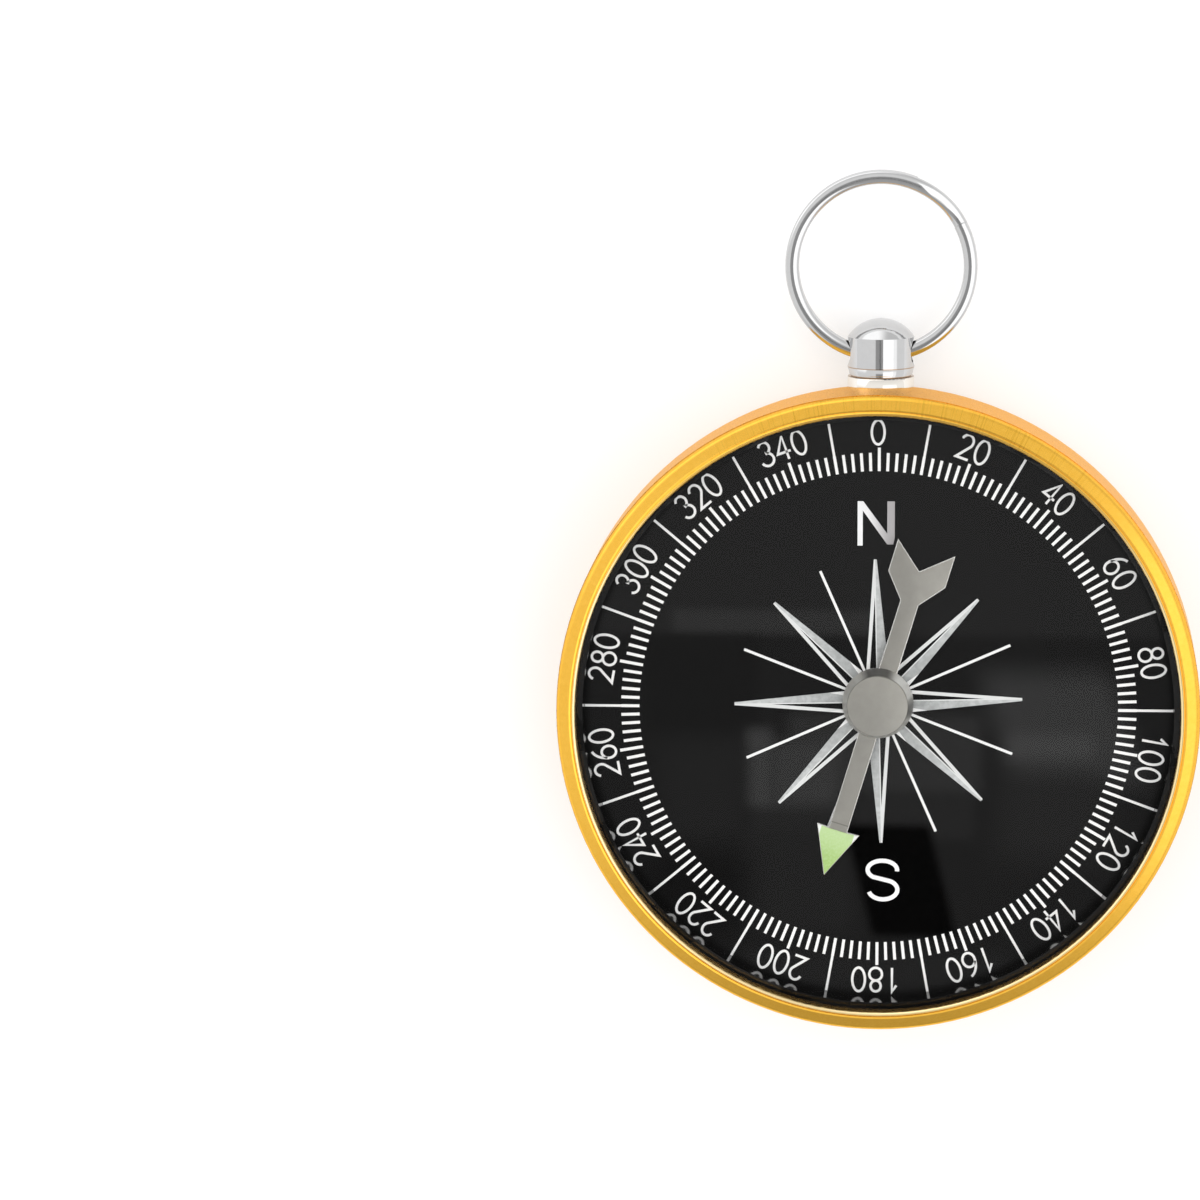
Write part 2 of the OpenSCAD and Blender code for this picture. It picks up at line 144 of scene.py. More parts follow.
# Letters: lower left and upper right corner in mm, line, and where the northern one's ink thins
LETTER_NORTH = ((-1.45, 11.19), (1.07, 14.23))
LETTER_SOUTH = ((-0.83, -13.4), (1.52, -10.5))
LETTER_LINE = 0.29 * MM
LETTER_THINS_X = (-1.15, 0.87)

# Camera: its place as seen from the dial, and the dial's centre and scale in the photograph
CAMERA_DISTANCE = 0.4
CAMERA_TILT = math.radians(10.1)
CAMERA_TURN = math.radians(7.7)
CAMERA_ROLL = math.radians(0.3)
PHOTO_SIZE = 1200
DIAL_PIXEL = (878.1, 708.0)
PIXELS_PER_MM = 14.65
SENSOR = 36.0
CLIP_END = 20.0

# Floor: its size in metres, and the parts of its white that follow the light and that don't
FLOOR_SIZE = 6.0
FLOOR_LIT = 0.5
FLOOR_GLOW = 0.52
# Lamp straight above: its strength and width
FILL_POWER = 0.7
FILL_ANGLE = math.radians(80.0)

# Sky, over the lean of a direction to the right and its height towards the north, in degrees
SKY_LEVEL = 1.0
SKY_NORTH = 0.8
SKY_SOUTH = 0.5
NORTH_FADE = (15.0, 50.0)
SOUTH_FADE = (-62.0, -18.0)
# Lights on the right, as a window and an extra level, and their window in the north
SIDE_LIGHTS = (((9.0, 45.0, 2.0), 0.35),
               ((9.0, 58.0, 2.0), 0.45))
SIDE_LIGHTS_NORTH = (-32.0, 15.0, 7.0)
# Low light in the north west: its bearings, its heights over the horizon and its extra level
LOW_LIGHT_BEARINGS = (-75.0, 5.0, 15.0)
LOW_LIGHT_HEIGHTS = (-5.0, 36.0, 5.0)
LOW_LIGHT_EXTRA = 0.8
# Dim gap over the compass, with another level far to the south, which only the bezel mirrors
GAP_RIGHT = (-17.0, 8.5, 1.5)
GAP_NORTH = (-90.0, 4.0, 4.0)
GAP_LEVEL = 0.42
SOUTH_GAP_LEVEL = 0.52
SOUTH_GAP_FADE = (-30.0, -15.0)
# Patches of the gap, placed where the glass mirrors them: a middle, half a width and height, a
# blur, a level and a lean
PATCHES = (((0.0, -8.0), (26.0, 13.0), 0.5, 0.27, 0.0),
           ((-7.0, 5.9), (7.0, 0.8), 0.5, 0.66, 0.0),
           ((-12.0, 1.5), (3.8, 3.4), 0.6, 0.22, 0.0),
           ((12.5, -1.3), (4.4, 3.8), 1.5, 0.85, -0.3),
           ((11.8, -2.6), (2.9, 0.9), 0.8, 1.15, 0.0),
           ((12.0, -7.5), (3.8, 3.0), 2.0, 0.42, 0.0),
           ((0.5, -3.2), (6.6, 2.8), 0.8, 0.6, 0.0),
           ((-1.0, -7.6), (7.6, 1.5), 0.6, 0.4, 0.0),
           ((-5.0, -4.6), (2.3, 2.2), 0.9, 0.85, 0.0),
           ((-8.1, -4.2), (0.9, 2.7), 0.7, 0.95, 0.0),
           ((-12.0, -6.0), (2.8, 3.4), 1.5, 0.34, 0.0),
           ((-5.4, -12.0), (3.6, 3.6), 1.0, 0.36, 0.0),
           ((-12.5, -13.0), (3.6, 3.0), 2.0, 0.14, 0.0),
           ((1.6, -12.0), (2.9, 3.9), 0.5, 0.0, -0.25),
           ((0.0, -18.2), (9.0, 1.2), 0.8, 0.36, 0.0))
# Dark ring of the gap, mirrored close to the bezel's lip
DARK_RING = (19.9, 26.0, 0.4)
DARK_LEVEL = 0.04


def rgb(red, green, blue):
    return (red, green, blue, 1.0)


# Tint of both golds where they are seen at a flat angle
GOLD_EDGE = rgb(1.0, 0.78, 0.5)


class Tree:
    """A node tree with short calls for the nodes that it needs."""

    def __init__(self, owner):
        owner.use_nodes = True
        self.tree = owner.node_tree

    def node(self, kind, inputs=None, **settings):
        made = self.tree.nodes.new(kind)
        for name, value in settings.items():
            setattr(made, name, value)
        for key, value in (inputs or {}).items():
            self.feed(made.inputs[key], value)
        return made

    def feed(self, socket, value):
        if isinstance(value, bpy.types.NodeSocket):
            self.tree.links.new(value, socket)
        elif value is not None:
            socket.default_value = value

    def math(self, operation, first, second=None):
        made = self.node("ShaderNodeMath", {0: first, 1: second}, operation=operation)
        return made.outputs[0]

    def plus(self, first, second):
        return self.math("ADD", first, second)

    def minus(self, first, second):
        return self.math("SUBTRACT", first, second)

    def times(self, first, second):
        return self.math("MULTIPLY", first, second)

    def bearing(self, x, y):
        """Degrees from +Y towards +X."""
        return self.math("DEGREES", self.math("ARCTAN2", x, y))

    def height(self, rise):
        """Degrees of a unit direction over the plane from which it rises."""
        return self.math("DEGREES", self.math("ARCSINE", rise))

    def vector(self, operation, first, second=None, scale=None):
        made = self.node("ShaderNodeVectorMath", {0: first, 1: second}, operation=operation)
        if scale is not None:
            self.feed(made.inputs["Scale"], scale)
        return made.outputs["Value" if operation == "LENGTH" else "Vector"]

    def combine(self, x, y, z=0.0):
        return self.node("ShaderNodeCombineXYZ", {"X": x, "Y": y, "Z": z}).outputs[0]

    def length(self, x, y):
        return self.vector("LENGTH", self.combine(x, y))

    def step(self, value, start, end, low=0.0, high=1.0):
        """Goes from low to high while value goes from start to end."""
        made = self.node("ShaderNodeMapRange", {"Value": value, "From Min": start, "From Max": end,
                                                "To Min": low, "To Max": high},
                         interpolation_type="SMOOTHSTEP")
        return made.outputs["Result"]

    def window(self, value, start, end, blur):
        """1 between start and end, 0 outside, with soft borders."""
        return self.times(self.step(value, start - blur, start + blur),
                          self.step(value, end - blur, end + blur, 1.0, 0.0))

    def around(self, value, middle, half, blur):
        """1 within half a width of a middle, 0 outside, with soft borders."""
        return self.window(value, middle - half, middle + half, blur)

    def mix(self, share, first, second):
        """A colour between two colours."""
        made = self.node("ShaderNodeMix", {0: share, 6: first, 7: second}, data_type="RGBA")
        return made.outputs[2]

    def blend(self, share, first, second):
        """A number between two numbers."""
        return self.node("ShaderNodeMix", {0: share, 2: first, 3: second}).outputs[0]


class Finish(Tree):
    """A procedural material that works in millimetres."""

    def __init__(self, name, **shader):
        self.material = bpy.data.materials.new(name)
        super().__init__(self.material)
        self.surface = self.tree.nodes["Principled BSDF"]
        for name, value in shader.items():
            socket = name.replace("_", " ").title().replace("Ior", "IOR")
            self.surface.inputs[socket].default_value = value
        coords = self.node("ShaderNodeTexCoord")
        self.place = self.vector("SCALE", coords.outputs["Object"], scale=1 / MM)
        parts = self.node("ShaderNodeSeparateXYZ", {"Vector": self.place})
        self.x, self.y, self.z = parts.outputs

    def radius(self):
        return self.length(self.x, self.y)

    def from_pivot(self):
        """How far a place lies north of the pivot, and how far away from it."""
        north = self.minus(self.y, PIVOT_Y)
        return north, self.length(self.x, north)

    def along_across(self, degrees, y):
        """Millimetres along a direction, in degrees anticlockwise from +X, and across it."""
        cos, sin = math.cos(math.radians(degrees)), math.sin(math.radians(degrees))
        along = self.plus(self.times(self.x, cos), self.times(y, sin))
        across = self.minus(self.times(y, cos), self.times(self.x, sin))
        return along, across

    def noise(self, scale, detail=2.0, vector=None, roughness=0.5):
        made = self.node("ShaderNodeTexNoise", {"Vector": vector or self.place, "Scale": scale,
                                                "Detail": detail, "Roughness": roughness})
        return made.outputs["Fac"]

    def mottled(self, first, second, scale, detail=2.0):
        """A colour that wanders between two colours."""
        return self.mix(self.noise(scale, detail), first, second)

    def colour(self, value):
        self.feed(self.surface.inputs["Base Color"], value)

    def rough(self, value):
        self.feed(self.surface.inputs["Roughness"], value)

    def bump(self, height, strength, distance=0.01 * MM):
        made = self.node("ShaderNodeBump", {"Strength": strength, "Distance": distance,
                                            "Height": height})
        self.feed(self.surface.inputs["Normal"], made.outputs["Normal"])

    def dress(self, *names):
        for name in names:
            nodes[name].data.materials.clear()
            nodes[name].data.materials.append(self.material)


def gold_case():
    """Satin case. The back's recessed panel has a fine slanting grain and a few scratches; the
    polished slope round it has a painted highlight.
    """
    finish = Finish("gold_satin", metallic=1.0, specular_tint=GOLD_EDGE)
    grain = finish.noise(6.0, 4.0)
    wall = finish.mix(grain, rgb(0.84, 0.44, 0.055), rgb(0.92, 0.52, 0.09))
    along, across = finish.along_across(GRAIN_DEG, finish.y)
    stretched = finish.combine(finish.times(along, GRAIN_SCALE[0]),
                               finish.times(across, GRAIN_SCALE[1]))
    lines = finish.step(finish.noise(1.0, 6.0, stretched, 0.65), 0.33, 0.67)
    panel = finish.mix(lines, rgb(0.74, 0.4, 0.03), rgb(0.98, 0.62, 0.1))
    scratched = 0.0
    for middle, half in SCRATCHES:
        scratch = finish.times(finish.around(along, middle[0], half[0], SCRATCH_BLUR[0]),
                               finish.around(across, middle[1], half[1], SCRATCH_BLUR[1]))
        scratched = finish.math("MAXIMUM", scratched, scratch)
    panel = finish.mix(finish.times(scratched, 0.6), panel, rgb(1.0, 0.85, 0.45))
    reach = finish.radius()
    sunk = finish.step(finish.z, PANEL_Z + PANEL_BLUR, PANEL_Z + 2 * PANEL_BLUR, 1.0, 0.0)
    on_panel = finish.times(sunk, finish.step(reach, PANEL_R, PANEL_R + PANEL_BLUR, 1.0, 0.0))
    on_slope = finish.times(sunk, finish.window(reach, PANEL_R, SLOPE_FOOT_R, SLOPE_BLUR))
    # The slope is polished, and its paler gold is a painted highlight.
    slope_highlighted = finish.mix(on_slope, wall, rgb(1.0, 0.68, 0.12))
    finish.colour(finish.mix(on_panel, slope_highlighted, panel))
    wall_rough = finish.blend(on_slope, finish.step(grain, 0.2, 0.8, 0.24, 0.36), 0.14)
    finish.rough(finish.blend(on_panel, wall_rough, finish.step(lines, 0.0, 1.0, 0.26, 0.42)))
    pits = finish.times(finish.noise(14.0, 5.0), finish.blend(on_slope, 0.15, 0.02))
    finish.bump(finish.blend(on_panel, pits, finish.times(lines, 0.6)), 1.0)
    finish.dress("case_shell")


def gold_bezel():
    """Turned ring with a painted highlight along its crest and radial tool marks."""
    finish = Finish("gold_turned", metallic=1.0, specular_tint=GOLD_EDGE)
    plain = finish.mottled(rgb(0.87, 0.47, 0.05), rgb(0.95, 0.55, 0.085), 3.0, 4.0)
    spoke = finish.vector("NORMALIZE", finish.combine(finish.x, finish.y))
    marks = finish.noise(150.0, 3.0, spoke)
    bearing = finish.bearing(finish.x, finish.y)
    strength = finish.plus(finish.window(bearing, *TOOL_MARKS), TOOL_MARKS_ELSEWHERE)
    deep = finish.times(finish.step(marks, 0.5, 0.68), strength)
    marked = finish.mix(finish.times(deep, 0.35), plain, rgb(0.6, 0.33, 0.02))
    # A pale colour along the lip's crest, fading to the north, is a painted highlight.
    crest_highlight = finish.times(finish.window(finish.radius(), *CREST_HIGHLIGHT),
                         finish.step(finish.y, *CREST_HIGHLIGHT_FADE_Y, 1.0, 0.15))
    finish.colour(finish.mix(crest_highlight, marked, rgb(1.0, 0.8, 0.42)))
    finish.rough(finish.blend(crest_highlight, 0.24, 0.12))
    finish.bump(finish.times(marks, strength), 0.3)
    finish.dress("bezel_ring")


def clear_glass():
    """A clear sheet that mirrors as much as glass does, and lets all other light through."""
    finish = Finish("glass_clear", metallic=1.0, roughness=0.0, base_color=rgb(1, 1, 1))
    mirror = finish.node("ShaderNodeFresnel", {"IOR": GLASS_IOR}).outputs[0]
    back = finish.node("ShaderNodeNewGeometry").outputs["Backfacing"]
    front = finish.minus(1.0, back)
    finish.feed(finish.surface.inputs["Alpha"], finish.times(front, mirror))
    finish.dress("crystal")


def black_spacer():
    finish = Finish("plastic_black_gloss", roughness=0.12)
    finish.colour(finish.mottled(rgb(0.006, 0.006, 0.006), rgb(0.012, 0.012, 0.012), 2.0))
    finish.dress("spacer_ring")


def rose_inks(finish):
    """Inks of the rose: white rays, and star points with a half in lines and a silver half."""
    north, reach = finish.from_pivot()
    turned = finish.plus(finish.math("ARCTAN2", north, finish.x), math.tau - ROSE_TURN)
    sector = finish.math("FRACT", finish.math("DIVIDE", turned, math.tau / ROSE_COUNT))
    tone = finish.times(finish.step(reach, *ROSE_SHADE_R, 0.41, 0.56),
                        finish.step(finish.noise(3.0, 5.0), 0.3, 0.7, 0.85, 1.1))
    silver = finish.combine(tone, finish.times(tone, 1.03), finish.times(tone, 1.02))
    on_ray = finish.window(sector, *ROSE_RAY)
    pale = finish.mix(on_ray, rgb(0.72, 0.73, 0.72), rgb(0.86, 0.86, 0.85))
    return finish.mix(finish.math("GREATER_THAN", sector, ROSE_FILLED), pale, silver)


def dial_print():
    """Black dial, whose raised print is white, or in the rose's inks."""
    finish = Finish("dial_print", roughness=0.55, specular_ior_level=0.0)
    raised = finish.step(finish.z, dial_z / MM + INK_Z[0], dial_z / MM + INK_Z[1])
    outer = finish.step(finish.radius(), *ROSE_R)
    ink = finish.mix(outer, rose_inks(finish), rgb(0.96, 0.96, 0.95))
    ground = finish.mottled(rgb(0.0015, 0.0015, 0.0015), rgb(0.003, 0.003, 0.003), 1.5, 3.0)
    finish.colour(finish.mix(raised, ground, ink))
    finish.dress("dial_plate")


def white_ink():
    finish = Finish("ink_white", roughness=0.5, specular_ior_level=0.1)
    finish.colour(finish.mottled(rgb(0.92, 0.92, 0.91), rgb(0.98, 0.98, 0.97), 6.0, 3.0))
    return finish.material


def grey_ink():
    """Ink of the northern letter, which is thinner from left to right."""
    finish = Finish("ink_grey", roughness=0.5, specular_ior_level=0.1)
    thin = finish.step(finish.x, *LETTER_THINS_X)
    fresh = finish.mottled(rgb(0.82, 0.83, 0.83), rgb(0.92, 0.92, 0.92), 4.0, 3.0)
    finish.colour(finish.mix(thin, fresh, rgb(0.4, 0.385, 0.39)))
    return finish.material


def needle_place(finish):
    """Millimetres along the needle from its pivot to the arrow, and across it."""
    return finish.along_across(NEEDLE_DEG, finish.minus(finish.y, PIVOT_Y))


def steel_parts():
    """Plain sheet steel with a painted highlight on its edges and a scribed line before the
    arrowhead.
    """
    finish = Finish("steel_satin", metallic=0.85)
    sheet = finish.mottled(rgb(0.3, 0.29, 0.262), rgb(0.4, 0.388, 0.352), 1.1, 5.0)
    scribed = finish.window(needle_place(finish)[0], *SCRIBED_LINE)
    sheet = finish.mix(finish.times(scribed, 0.6), sheet, rgb(0.1, 0.1, 0.09))
    soft = finish.node("ShaderNodeBevel", {"Radius": SHADED_EDGE_R},
                       samples=SHADED_EDGE_SAMPLES).outputs[0]
    upward = finish.node("ShaderNodeSeparateXYZ", {"Vector": soft}).outputs["Z"]
    # Near-white colour where the rounded normal turns away from up is a painted highlight on the
    # edges.
    edge_highlight = finish.step(upward, 0.9, 0.995, 1.0, 0.0)
    finish.colour(finish.mix(edge_highlight, sheet, rgb(0.95, 0.95, 0.93)))
    finish.rough(finish.blend(edge_highlight, 0.38, 0.16))
    finish.feed(finish.surface.inputs["Normal"], soft)
    finish.dress("needle_blade", "pivot_pin")


def hub_steel():
    """Turned cap: a satin top, and a flank whose pale tone, dark streaks and bright streak are a
    painted reflection.
    """
    finish = Finish("steel_turned", roughness=0.4)
    north, reach = finish.from_pivot()
    top = finish.mottled(rgb(0.32, 0.31, 0.28), rgb(0.4, 0.388, 0.352), 1.4, 5.0)
    bearing = finish.bearing(finish.x, north)
    # The flank's pale tone and its dark and bright streaks by bearing are painted reflections.
    flank = rgb(0.5, 0.49, 0.455)
    for bearings, tone in HUB_PAINTED_REFLECTIONS:
        flank = finish.mix(finish.window(bearing, *bearings), flank, rgb(*tone))
    on_flank = finish.step(reach, *HUB_TOP_R)
    finish.colour(finish.mix(on_flank, top, flank))
    finish.feed(finish.surface.inputs["Metallic"], finish.blend(on_flank, 0.85, 0.35))
    rings = finish.combine(finish.times(reach, HUB_RINGS_SCALE), 0.0)
    finish.bump(finish.noise(1.0, 2.0, rings), 0.08)
    finish.dress("needle_hub")


def brass_parts():
    finish = Finish("brass_turned", metallic=1.0, roughness=0.3)
    finish.colour(finish.mottled(rgb(0.6, 0.42, 0.16), rgb(0.75, 0.55, 0.24), 8.0, 4.0))
    finish.dress("pivot_stake", "hub_bearing")


def luminous():
    """Pale green filling that darkens to the tip, with silvery corners."""
    finish = Finish("luminous_green", roughness=0.6, specular_ior_level=0.3)
    along, across = needle_place(finish)
    shade = finish.step(along, *LUMINOUS_SHADE)
    tone = finish.mix(shade, rgb(0.49, 0.67, 0.31), rgb(0.34, 0.53, 0.14))
    grains = finish.step(finish.noise(7.0, 4.0), 0.3, 0.75, 0.0, 0.35)
    filled = finish.mix(grains, tone, rgb(0.58, 0.73, 0.42))
    corner = finish.step(finish.math("ABSOLUTE", across), *CORNER_HALF_W)
    finish.colour(finish.mix(corner, filled, rgb(0.85, 0.87, 0.84)))
    finish.dress("luminous_head")


def chrome(name):
    """Polished plating: the finish and its plain colour."""
    finish = Finish(name, metallic=1.0, roughness=0.07)
    return finish, finish.mottled(rgb(0.58, 0.58, 0.585), rgb(0.63, 0.63, 0.63), 2.0, 3.0)


def chrome_parts():
    finish, plate = chrome("chrome_polished")
    finish.colour(plate)
    finish.dress("split_ring", "pendant_rivet")


def bead(finish, start, length, low, high):
    """Height of a rounded bead, whose slope along +Y goes from low to high."""
    share = finish.node("ShaderNodeMapRange", {"Value": finish.y, "From Min": start,
                                               "From Max": start + length}).outputs["Result"]
    curve = finish.times(finish.times(share, share), (high - low) / 2)
    return finish.times(finish.plus(finish.times(share, low), curve), -length)


def pendant_chrome():
    """Plated knob and collar, each with a rounded bead; the collar's pale cream is a painted
    reflection, and the brown seams are painted shade.
    """
    finish, plate = chrome("chrome_pendant")
    on_collar = finish.step(finish.y, COLLAR_TOP_Y - COLLAR_BLUR, COLLAR_TOP_Y + COLLAR_BLUR,
                            1.0, 0.0)
    # The collar's pale cream colour is a painted reflection.
    plate = finish.mix(on_collar, plate, rgb(0.86, 0.82, 0.76))
    # Brown lines in the seams beside the beads are painted shade.
    seam_shade = finish.plus(finish.window(finish.y, *COLLAR_SEAM_SHADE), finish.window(finish.y, *FOOT_SEAM_SHADE))
    finish.colour(finish.mix(seam_shade, plate, rgb(0.4, 0.27, 0.17)))
    foot = bead(finish, FOOT_Y, FOOT_L, *FOOT_SLOPES)
    collar = bead(finish, CASE_EDGE_Y, COLLAR_TOP_Y - CASE_EDGE_Y, *COLLAR_SLOPES)
    finish.bump(finish.plus(foot, collar), 1.0, MM)
    finish.dress("pendant_knob", "pendant_collar")


def shading_by_angle():
    """A node group that shades a mesh smooth, except over its sharp edges."""
    group = bpy.data.node_groups.new("shading_by_angle", "GeometryNodeTree")
    group.interface.new_socket("Geometry", in_out="INPUT", socket_type="NodeSocketGeometry")
    group.interface.new_socket("Geometry", in_out="OUTPUT", socket_type="NodeSocketGeometry")
    start = group.nodes.new("NodeGroupInput")
    bare = group.nodes.new("GeometryNodeRemoveAttribute")
    bare.inputs["Name"].default_value = "custom_normal"
    faces = group.nodes.new("GeometryNodeSetShadeSmooth")
    angle = group.nodes.new("GeometryNodeInputMeshEdgeAngle")
    flat = group.nodes.new("FunctionNodeCompare")
    flat.operation = "LESS_THAN"
    flat.inputs["B"].default_value = math.radians(SHARP_DEG)
    edges = group.nodes.new("GeometryNodeSetShadeSmooth")
    edges.domain = "EDGE"
    end = group.nodes.new("NodeGroupOutput")
    group.links.new(start.outputs[0], bare.inputs["Geometry"])
    group.links.new(bare.outputs["Geometry"], faces.inputs["Geometry"])
    group.links.new(faces.outputs["Geometry"], edges.inputs["Geometry"])
    group.links.new(angle.outputs["Unsigned Angle"], flat.inputs["A"])
    group.links.new(flat.outputs["Result"], edges.inputs["Shade Smooth"])
    group.links.new(edges.outputs["Geometry"], end.inputs[0])
    return group


def rounded(shading, name, width=0.0):
    """Joins a node's faces for shading, and rounds its edges by a width in millimetres."""
    weld = nodes[name].modifiers.new("weld", "WELD")
    weld.merge_threshold = WELD_GAP
    if width:
        bevel = nodes[name].modifiers.new("edges", "BEVEL")
        bevel.width = width * MM
        bevel.segments = EDGE_SEGMENTS
        bevel.limit_method = "ANGLE"
        bevel.angle_limit = math.radians(SHARP_DEG)
    nodes[name].modifiers.new("shading", "NODES").node_group = shading


def arc(centre, radii, start_deg, end_deg, steps=14):
    """Points along an ellipse, with angles counted anticlockwise from +X."""
    angles = [math.radians(start_deg + (end_deg - start_deg) * i / steps)
              for i in range(steps + 1)]
    return [(centre[0] + radii[0] * math.cos(a), centre[1] + radii[1] * math.sin(a))
            for a in angles]


def digit_strokes():
    """Centre lines of each digit in a cell that is 1 wide and 1 high, with its foot at 0."""
    return {"0": [arc((0.5, 0.5), (0.5, 0.5), 0, 360, 28)],
            "1": [[(0.22, 0.74), (0.56, 1.0), (0.56, 0.0)]],
            "2": [arc((0.5, 0.72), (0.46, 0.28), 165, -35) + [(0.02, 0.0), (1.0, 0.0)]],
            "3": [arc((0.46, 0.755), (0.42, 0.245), 160, -80)
                  + arc((0.46, 0.265), (0.5, 0.265), 82, -160)],
            "4": [[(0.72, 0.0), (0.72, 1.0), (0.0, 0.32), (1.05, 0.32)]],
            "6": [arc((0.98, 0.3), (0.96, 0.72), 106, 172, 10)
                  + arc((0.5, 0.3), (0.48, 0.3), 160, 520, 28)],
            "8": [arc((0.5, 0.77), (0.4, 0.23), -90, 270, 24),
                  arc((0.5, 0.27), (0.5, 0.27), 90, 450, 24)]}


def piece(name, mesh, body, material):
    """A piece of the scene from a finished mesh, riding on a body."""
    bmesh.ops.recalc_face_normals(mesh, faces=mesh.faces)
    data = bpy.data.meshes.new(name)
    mesh.to_mesh(data)
    mesh.free()
    data.materials.append(material)
    made = bpy.data.objects.new(name, data)
    bpy.context.scene.collection.objects.link(made)
    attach(made, body)


def ribbon(mesh, points, width, low, high):
    """Adds a flat stroke of a given width along points, between two heights."""
    points = [Vector(point) for point in points]
    closed = (points[0] - points[-1]).length < width / 10
    if closed:
        points.pop()
    count = len(points)
    last = count if closed else count - 1
    headings = [(points[(i + 1) % count] - points[i]).normalized() for i in range(last)]
    rings = []
    for i, point in enumerate(points):
        heading_in = headings[i - 1] if i or closed else headings[0]
        heading_out = headings[i] if i < last else heading_in
        side_in = Vector((-heading_in.y, heading_in.x))
        side_out = Vector((-heading_out.y, heading_out.x))
        side = (side_in + side_out).normalized()
        reach = width / 2 / max(side.dot(side_in), MITRE_LIMIT)
        rings.append([mesh.verts.new((*(point + side * reach * sign), z))
                      for z in (low, high) for sign in (1, -1)])
    for i in range(last):
        a, b = rings[i], rings[(i + 1) % count]
        mesh.faces.new((a[2], a[3], b[3], b[2]))
        mesh.faces.new((a[1], a[0], b[0], b[1]))
        mesh.faces.new((a[0], a[2], b[2], b[0]))
        mesh.faces.new((a[3], a[1], b[1], b[3]))
    if not closed:
        mesh.faces.new((rings[0][0], rings[0][1], rings[0][3], rings[0][2]))
        mesh.faces.new((rings[-1][1], rings[-1][0], rings[-1][2], rings[-1][3]))


def printed(name, strokes, width, material):
    """A piece of the dial's print, made of strokes that are given in metres."""
    mesh = bmesh.new()
    for i, stroke in enumerate(strokes):
        ribbon(mesh, stroke, width, dial_z, dial_z + PRINT_H - i * STROKE_STEP)
    piece(name, mesh, "case", material)


def numbers(material):
    """Bearings round the dial, with their feet to its centre."""
    digits = digit_strokes()
    for bearing in range(0, 360, NUMBER_STEP):
        text = str(bearing)
        turn = Matrix.Rotation(-math.radians(bearing), 2)
        strokes = []
        for place, digit in enumerate(text):
            middle_x = (place - (len(text) - 1) / 2) * DIGIT_PITCH
            for stroke in digits[digit]:
                upright = [Vector((middle_x + (x - 0.5) * DIGIT_W, DIGIT_FOOT_R + y * DIGIT_H))
                           for x, y in stroke]
                strokes.append([turn @ point + NUMBER_SHIFT for point in upright])
        printed(f"number_{bearing:03d}", strokes, DIGIT_LINE, material)


def in_cell(points, corners):
    """Brings points from a cell that is 1 wide and 1 high between two corners, and to metres."""
    (left, low), (right, high) = corners
    return [((left + x * (right - left)) * MM, (low + y * (high - low)) * MM) for x, y in points]


def letter_north(material):
    """The northern letter, from its corners, with legs of unequal width."""
    thin, thick = 0.14, 0.2
    corners = [(0, 0), (thin, 0), (thin, 0.79), (1 - thick, 0.03), (0.96, 0.03), (1, 0.17),
               (1, 1), (1 - thick, 1), (1 - thick, 0.27), (thin + 0.01, 1), (0, 1)]
    outline = in_cell(corners, LETTER_NORTH)
    mesh = bmesh.new()
    top = [mesh.verts.new((x, y, dial_z + PRINT_H)) for x, y in outline]
    foot = [mesh.verts.new((x, y, dial_z)) for x, y in outline]
    mesh.faces.new(top)
    mesh.faces.new(foot[::-1])
    for i in range(len(outline)):
        mesh.faces.new((top[i - 1], top[i], foot[i], foot[i - 1]))
    piece("letter_north", mesh, "case", material)


def letter_south(material):
    upper = arc((0.5, 0.745), (0.43, 0.22), -8, 232, 22)
    lower = arc((0.52, 0.27), (0.42, 0.235), 60, -165, 22)
    printed("letter_south", [in_cell(upper + lower, LETTER_SOUTH)], LETTER_LINE, material)


def floor():
    """A white floor. Seen or mirrored, half of its white doesn't depend on the light."""
    bpy.ops.mesh.primitive_plane_add(size=FLOOR_SIZE)
    plane = bpy.context.object
    plane.name = "floor"
    finish = Finish("floor_white", roughness=0.9)
    finish.colour(finish.mottled(rgb(0.9, 0.9, 0.9), rgb(0.92, 0.92, 0.92), 0.002))
    rays = finish.node("ShaderNodeLightPath").outputs
    mirrored = finish.math("MAXIMUM", rays["Is Glossy Ray"], rays["Is Transmission Ray"])
    seen = finish.math("MAXIMUM", rays["Is Camera Ray"], mirrored)
    lit = finish.node("ShaderNodeBsdfDiffuse", {"Color": rgb(FLOOR_LIT, FLOOR_LIT, FLOOR_LIT)})
    glow = finish.node("ShaderNodeEmission", {"Color": rgb(FLOOR_GLOW, FLOOR_GLOW, FLOOR_GLOW),
                                              "Strength": 1.0})
    shown = finish.node("ShaderNodeAddShader", {0: lit.outputs[0], 1: glow.outputs[0]})
    both = finish.node("ShaderNodeMixShader", {0: seen, 1: finish.surface.outputs[0],
                                               2: shown.outputs[0]})
    finish.feed(finish.tree.nodes["Material Output"].inputs["Surface"], both.outputs[0])
    plane.data.materials.append(finish.material)


def mirrored_gap(sky, x, y, z):
    """Level of the gap in a direction, by the place on the dial where the glass mirrors it."""
    distance = CAMERA_DISTANCE / MM
    rise = distance * math.cos(CAMERA_TILT)
    camera_x = distance * math.sin(CAMERA_TILT) * math.sin(CAMERA_TURN)
    camera_y = distance * math.sin(CAMERA_TILT) * math.cos(CAMERA_TURN)
    dial_x = sky.plus(sky.times(sky.math("DIVIDE", x, z), rise), camera_x)
    dial_y = sky.plus(sky.times(sky.math("DIVIDE", y, z), rise), camera_y)
    level = GAP_LEVEL
    for middle, half, blur, patch_level, lean in PATCHES:
        north = sky.minus(dial_y, middle[1])
        upright_x = sky.minus(dial_x, sky.times(north, lean))
        inside = sky.times(sky.around(upright_x, middle[0], half[0], blur),
                           sky.around(north, 0.0, half[1], blur))
        level = sky.blend(inside, level, patch_level)
    return sky.blend(sky.window(sky.length(dial_x, dial_y), *DARK_RING), level, DARK_LEVEL)


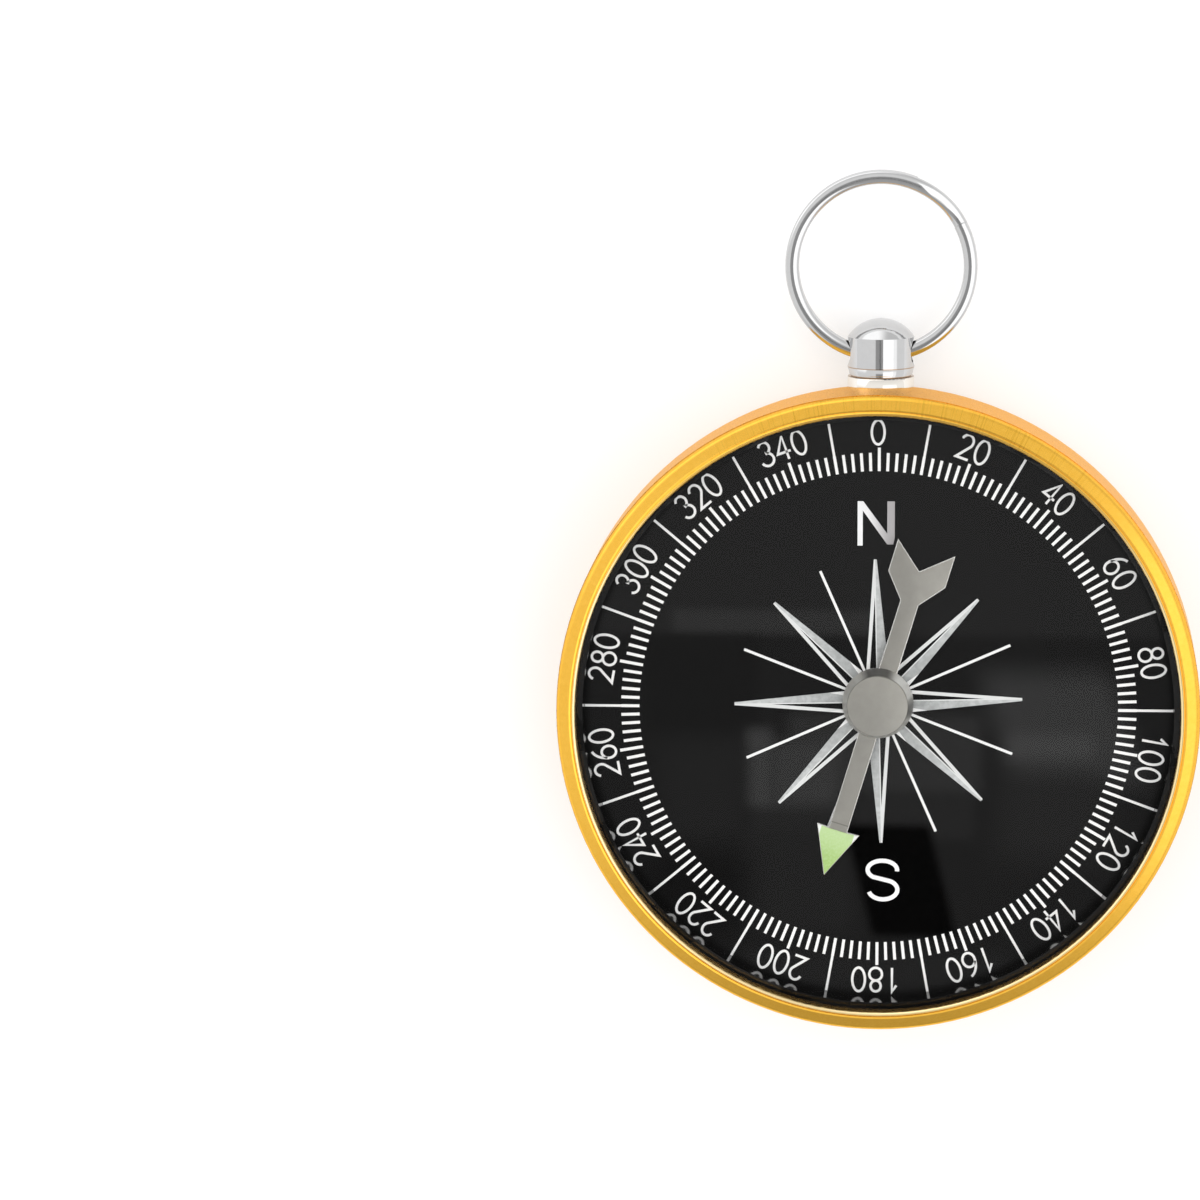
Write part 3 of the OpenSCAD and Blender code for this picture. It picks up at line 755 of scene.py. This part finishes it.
def studio():
    """A soft white sky with lights on the right and a dim gap over the flat glass."""
    world = bpy.data.worlds.new("studio")
    bpy.context.scene.world = world
    sky = Tree(world)
    coords = sky.node("ShaderNodeTexCoord").outputs["Generated"]
    x, y, z = sky.node("ShaderNodeSeparateXYZ", {"Vector": coords}).outputs
    right = sky.bearing(x, z)
    north = sky.height(y)
    level = sky.times(sky.step(north, *NORTH_FADE, SKY_LEVEL, SKY_NORTH),
                      sky.step(north, *SOUTH_FADE, SKY_SOUTH / SKY_LEVEL, 1.0))
    lights = 0.0
    for side, extra in SIDE_LIGHTS:
        lights = sky.plus(lights, sky.times(sky.window(right, *side), extra))
    level = sky.plus(level, sky.times(lights, sky.window(north, *SIDE_LIGHTS_NORTH)))
    low_light = sky.times(sky.window(sky.bearing(x, y), *LOW_LIGHT_BEARINGS),
                          sky.window(sky.height(z), *LOW_LIGHT_HEIGHTS))
    level = sky.plus(level, sky.times(low_light, LOW_LIGHT_EXTRA))
    gap = sky.times(sky.window(right, *GAP_RIGHT), sky.window(north, *GAP_NORTH))
    dim = sky.blend(sky.step(north, *SOUTH_GAP_FADE), SOUTH_GAP_LEVEL, mirrored_gap(sky, x, y, z))
    sky.feed(sky.tree.nodes["Background"].inputs["Color"], sky.blend(gap, level, dim))


def fill():
    """A wide soft lamp straight above, for matt surfaces alone."""
    lamp = bpy.data.lights.new("fill", "SUN")
    lamp.energy = FILL_POWER
    lamp.angle = FILL_ANGLE
    made = bpy.data.objects.new("fill", lamp)
    made.location = (0, 0, 1)
    made.visible_glossy = False
    bpy.context.scene.collection.objects.link(made)


def camera():
    """Looks at the dial's centre, then turns so that it lies at its pixel of the photograph."""
    focal = PIXELS_PER_MM * CAMERA_DISTANCE / MM
    target = Vector((0, 0, dial_z))
    away = Vector((math.sin(CAMERA_TILT) * math.sin(CAMERA_TURN),
                   math.sin(CAMERA_TILT) * math.cos(CAMERA_TURN), math.cos(CAMERA_TILT)))
    right = Vector((0, 1, 0)).cross(away).normalized()
    up = away.cross(right)
    look = Matrix((right, up, away)).transposed()
    dial = Vector(((DIAL_PIXEL[0] - PHOTO_SIZE / 2) / focal,
                   (PHOTO_SIZE / 2 - DIAL_PIXEL[1]) / focal, -1)).normalized()
    roll = Matrix.Rotation(CAMERA_ROLL, 3, "Z")
    turn = dial.rotation_difference(Vector((0, 0, -1))).to_matrix()
    made = bpy.data.objects.new("camera", bpy.data.cameras.new("camera"))
    bpy.context.scene.collection.objects.link(made)
    made.matrix_world = (Matrix.Translation(target + away * CAMERA_DISTANCE)
                         @ (look @ roll @ turn).to_4x4())
    made.data.sensor_width = SENSOR
    made.data.lens = focal / PHOTO_SIZE * SENSOR
    made.data.clip_end = CLIP_END
    bpy.context.scene.camera = made


gold_case()
gold_bezel()
clear_glass()
black_spacer()
dial_print()
steel_parts()
hub_steel()
brass_parts()
luminous()
chrome_parts()
pendant_chrome()
by_angle = shading_by_angle()
rounded(by_angle, "split_ring")
rounded(by_angle, "needle_blade", NEEDLE_EDGE)
rounded(by_angle, "needle_hub", HUB_EDGE)
ink = white_ink()
numbers(ink)
letter_north(grey_ink())
letter_south(ink)
floor()
studio()
fill()
camera()
bpy.context.scene.view_settings.view_transform = "Standard"
